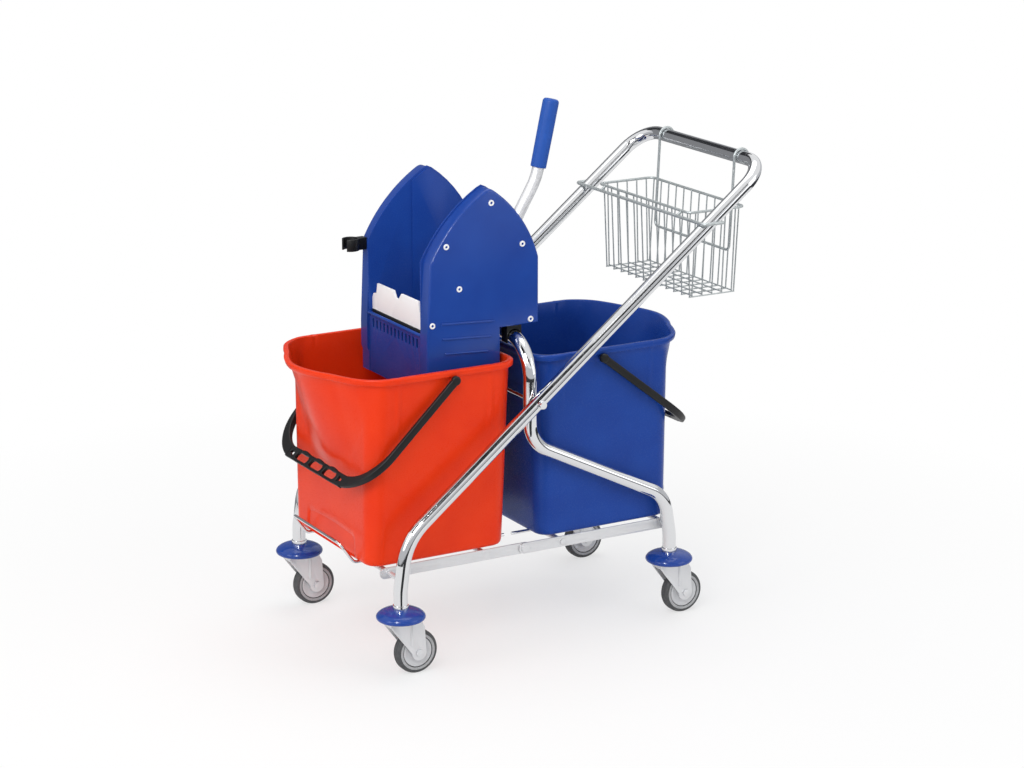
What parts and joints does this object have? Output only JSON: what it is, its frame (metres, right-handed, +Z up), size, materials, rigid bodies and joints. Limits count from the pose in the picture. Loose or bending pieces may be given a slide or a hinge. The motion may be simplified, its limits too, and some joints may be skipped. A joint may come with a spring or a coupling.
{
  "type": "double mop bucket trolley",
  "caption": "Mop trolley with a bent tube frame on swivel castors, a red and a blue bucket, a lever press wringer and a wire basket on the push bar.",
  "frame": {"origin": "on the floor under the top bar of the arch, midway between the two sides", "axes": "+X to the push bar, +Y to the far side, +Z up"},
  "size_m": [0.8792, 0.498, 0.9608],
  "materials": {
    "chrome": "polished",
    "zinc": "zinc plated",
    "red_plastic": "moulded, slightly glossy",
    "blue_plastic": "moulded, slightly glossy",
    "black_plastic": "moulded, satin",
    "white_plastic": "moulded, satin",
    "pale_plastic": "moulded, satin",
    "grey_rubber": "matt"
  },
  "bodies": {
    "frame": {"handle_frame": "chrome", "arch_frame": "chrome", "pivot_rod": "chrome", "pivot_nuts": "chrome", "pivot_spacers": "black_plastic", "link_front_near": "zinc", "link_front_far": "zinc", "link_rear_near": "zinc", "link_rear_far": "zinc", "link_rivets": "zinc", "rod_front": "zinc", "rod_front_inner": "zinc", "rod_rear_inner": "zinc", "rod_rear": "zinc", "retainer_front": "chrome", "retainer_rear": "chrome", "castor_stems": "chrome", "bumper_discs": "blue_plastic"},
    "swivel_front_near": {"fork_fn": "zinc", "axle_fn": "zinc"},
    "wheel_front_near": {"hub_fn": "pale_plastic", "tyre_fn": "grey_rubber"},
    "swivel_front_far": {"fork_ff": "zinc", "axle_ff": "zinc"},
    "wheel_front_far": {"hub_ff": "pale_plastic", "tyre_ff": "grey_rubber"},
    "swivel_rear_near": {"fork_rn": "zinc", "axle_rn": "zinc"},
    "wheel_rear_near": {"hub_rn": "pale_plastic", "tyre_rn": "grey_rubber"},
    "swivel_rear_far": {"fork_rf": "zinc", "axle_rf": "zinc"},
    "wheel_rear_far": {"hub_rf": "pale_plastic", "tyre_rf": "grey_rubber"},
    "red_pail": {"red_bucket": "red_plastic"},
    "red_handle": {"red_bail": "black_plastic"},
    "blue_pail": {"blue_bucket": "blue_plastic"},
    "blue_handle": {"blue_bail": "black_plastic"},
    "wringer": {"wringer_body": "blue_plastic", "cover_near": "blue_plastic", "cover_far": "blue_plastic", "cover_screws": "white_plastic", "front_jaw": "white_plastic", "saddle_hooks": "black_plastic", "mop_clip": "black_plastic", "shaft_bushes": "white_plastic", "return_springs": "zinc"},
    "press": {"press_jaw": "white_plastic", "press_arms": "white_plastic", "press_shaft": "zinc", "lever_tube": "chrome", "lever_grip": "blue_plastic"},
    "basket": {"basket_rim": "chrome", "basket_hangers": "chrome", "basket_support": "chrome", "basket_front": "chrome", "basket_rear": "chrome", "basket_side_near": "chrome", "basket_side_far": "chrome", "basket_floor": "chrome"}
  },
  "joints": [
    {"name": "castor_swivel_front_near", "type": "hinge", "parent": "frame", "child": "swivel_front_near", "pos_m": [-0.278, -0.205, 0.10125], "axis": [0, 0, 1], "continuous": true},
    {"name": "wheel_spin_front_near", "type": "hinge", "parent": "swivel_front_near", "child": "wheel_front_near", "pos_m": [-0.25, -0.205, 0.04], "axis": [0, 1, 0], "continuous": true},
    {"name": "castor_swivel_front_far", "type": "hinge", "parent": "frame", "child": "swivel_front_far", "pos_m": [-0.278, 0.205, 0.10125], "axis": [0, 0, 1], "continuous": true},
    {"name": "wheel_spin_front_far", "type": "hinge", "parent": "swivel_front_far", "child": "wheel_front_far", "pos_m": [-0.25, 0.205, 0.04], "axis": [0, 1, 0], "continuous": true},
    {"name": "castor_swivel_rear_near", "type": "hinge", "parent": "frame", "child": "swivel_rear_near", "pos_m": [0.3, -0.177, 0.10125], "axis": [0, 0, 1], "continuous": true},
    {"name": "wheel_spin_rear_near", "type": "hinge", "parent": "swivel_rear_near", "child": "wheel_rear_near", "pos_m": [0.328, -0.177, 0.04], "axis": [0, 1, 0], "continuous": true},
    {"name": "castor_swivel_rear_far", "type": "hinge", "parent": "frame", "child": "swivel_rear_far", "pos_m": [0.3, 0.177, 0.10125], "axis": [0, 0, 1], "continuous": true},
    {"name": "wheel_spin_rear_far", "type": "hinge", "parent": "swivel_rear_far", "child": "wheel_rear_far", "pos_m": [0.328, 0.177, 0.04], "axis": [0, 1, 0], "continuous": true},
    {"name": "red_bucket_lift", "type": "slide", "parent": "frame", "child": "red_pail", "axis": [0, 0, 1], "range_m": [0, 0.045]},
    {"name": "blue_bucket_lift", "type": "slide", "parent": "frame", "child": "blue_pail", "axis": [0, 0, 1], "range_m": [0, 0.04]},
    {"name": "red_bail_swing", "type": "hinge", "parent": "red_pail", "child": "red_handle", "pos_m": [-0.152, 0, 0.51435], "axis": [0, 1, 0], "range_deg": [0, 95]},
    {"name": "blue_bail_swing", "type": "hinge", "parent": "blue_pail", "child": "blue_handle", "pos_m": [0.152, 0, 0.51435], "axis": [0, -1, 0], "range_deg": [0, 37]},
    {"name": "wringer_lift", "type": "slide", "parent": "frame", "child": "wringer", "axis": [0, 0, 1], "range_m": [0, 0.25]},
    {"name": "press_lever", "type": "hinge", "parent": "wringer", "child": "press", "pos_m": [0.01, 0, 0.638], "axis": [0, 1, 0], "range_deg": [0, 40], "stiffness_Nm_per_rad": 4, "springref_deg": -20.05},
    {"name": "basket_lift", "type": "slide", "parent": "frame", "child": "basket", "axis": [0, 0, 1], "range_m": [0, 0.06]}
  ]
}
